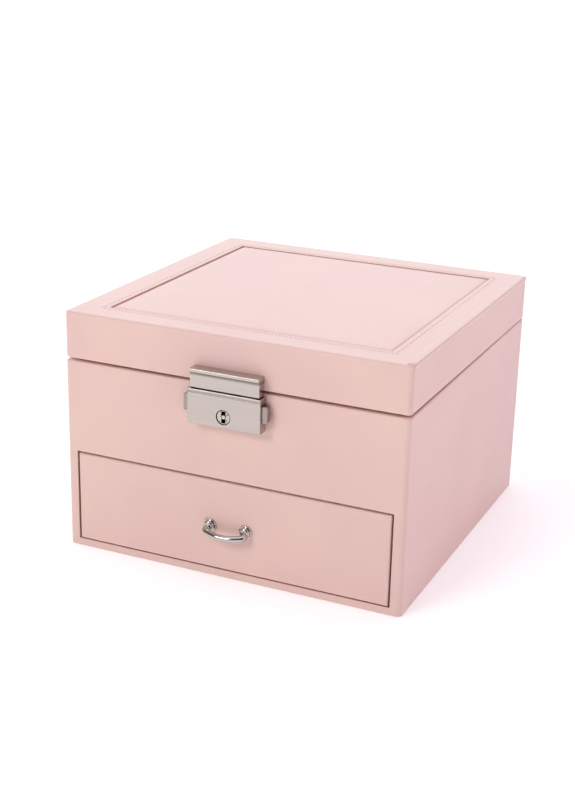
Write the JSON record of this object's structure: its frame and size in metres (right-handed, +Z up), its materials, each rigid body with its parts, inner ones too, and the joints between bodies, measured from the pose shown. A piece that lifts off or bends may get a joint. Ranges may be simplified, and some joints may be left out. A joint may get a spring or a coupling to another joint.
{
  "type": "jewellery chest with drawer",
  "caption": "Square leatherette jewellery chest with a hinged locking lid, a mirror inside it, a divided upper compartment and a drawer with a metal pull below.",
  "frame": {"origin": "centre of the underside, on the surface that the chest stands on", "axes": "+Z up, -Y towards the front with the lock and the drawer, +X to the right seen from the front"},
  "size_m": [0.225, 0.2405, 0.1546],
  "materials": {
    "leatherette": "smooth, fine-grained satin leatherette in pale pink",
    "padded_leatherette": "smooth pale pink leatherette over thin foam",
    "underside_cloth": "thin non-woven cloth",
    "velvet": "short-pile velvet in soft pink over card",
    "velvet_foam": "short-pile velvet over soft foam",
    "fibreboard": "plain fibreboard",
    "mirror_glass": "silvered flat glass",
    "satin_nickel": "brushed satin nickel plate",
    "polished_chrome": "polished chrome plate",
    "brass": "plain turned brass",
    "zinc_plated_steel": "bright zinc plate"
  },
  "bodies": {
    "carcass": {"base_sheet": "underside_cloth", "base_board": "fibreboard", "left_board": "fibreboard", "right_board": "fibreboard", "back_board": "fibreboard", "front_board": "fibreboard", "shelf_board": "fibreboard", "carcass_cover": "leatherette", "lining_floor": "velvet", "lining_front": "velvet", "lining_back": "velvet", "lining_left": "velvet", "lining_right": "velvet", "ring_divider": "velvet", "ring_cross_divider": "velvet", "main_cross_divider": "velvet", "rear_divider": "velvet", "ring_roll_1": "velvet_foam", "ring_roll_2": "velvet_foam", "ring_roll_3": "velvet_foam", "ring_roll_4": "velvet_foam", "ring_roll_5": "velvet_foam", "ring_roll_6": "velvet_foam", "hinge_lower_leaves": "zinc_plated_steel", "hinge_pins": "zinc_plated_steel", "hinge_lower_screws": "zinc_plated_steel", "lock_case": "satin_nickel", "lock_back_plate": "zinc_plated_steel", "lock_barrel": "brass", "left_spring": "zinc_plated_steel", "right_spring": "zinc_plated_steel", "lock_screws": "zinc_plated_steel"},
    "lid": {"lid_top_board": "fibreboard", "lid_front_board": "fibreboard", "lid_back_board": "fibreboard", "lid_left_board": "fibreboard", "lid_right_board": "fibreboard", "lid_cover": "leatherette", "lid_panel": "padded_leatherette", "mirror": "mirror_glass", "mirror_frame": "velvet", "hinge_upper_leaves": "zinc_plated_steel", "hinge_upper_screws": "zinc_plated_steel", "hasp": "satin_nickel", "hasp_screws": "zinc_plated_steel"},
    "drawer": {"drawer_front_board": "fibreboard", "drawer_front_cover": "leatherette", "drawer_left_board": "fibreboard", "drawer_right_board": "fibreboard", "drawer_back_board": "fibreboard", "drawer_bottom_board": "fibreboard", "drawer_lining": "velvet", "drawer_long_divider": "velvet", "drawer_short_divider": "velvet", "drawer_pull": "polished_chrome", "pull_screws": "zinc_plated_steel"},
    "left_button": {"left_button": "satin_nickel"},
    "right_button": {"right_button": "satin_nickel"},
    "key_plug": {"key_plug": "polished_chrome", "lock_cam": "brass"}
  },
  "joints": [
    {"name": "lid_hinge", "type": "hinge", "parent": "carcass", "child": "lid", "pos_m": [0, 0.115, 0.1238], "axis": [-1, 0, 0], "range_deg": [0, 100]},
    {"name": "drawer_slide", "type": "slide", "parent": "carcass", "child": "drawer", "axis": [0, -1, 0], "range_m": [0, 0.15]},
    {"name": "left_button_push", "type": "slide", "parent": "carcass", "child": "left_button", "axis": [1, 0, 0], "range_m": [0, 0.002], "stiffness_N_per_m": 500, "springref_m": -0.002, "deforming": ["left_spring"]},
    {"name": "right_button_push", "type": "slide", "parent": "carcass", "child": "right_button", "axis": [-1, 0, 0], "range_m": [0, 0.002], "stiffness_N_per_m": 500, "springref_m": -0.002, "deforming": ["right_spring"]},
    {"name": "key_plug_turn", "type": "hinge", "parent": "carcass", "child": "key_plug", "pos_m": [0, -0.1205, 0.1078], "axis": [0, 1, 0], "range_deg": [0, 90]}
  ]
}
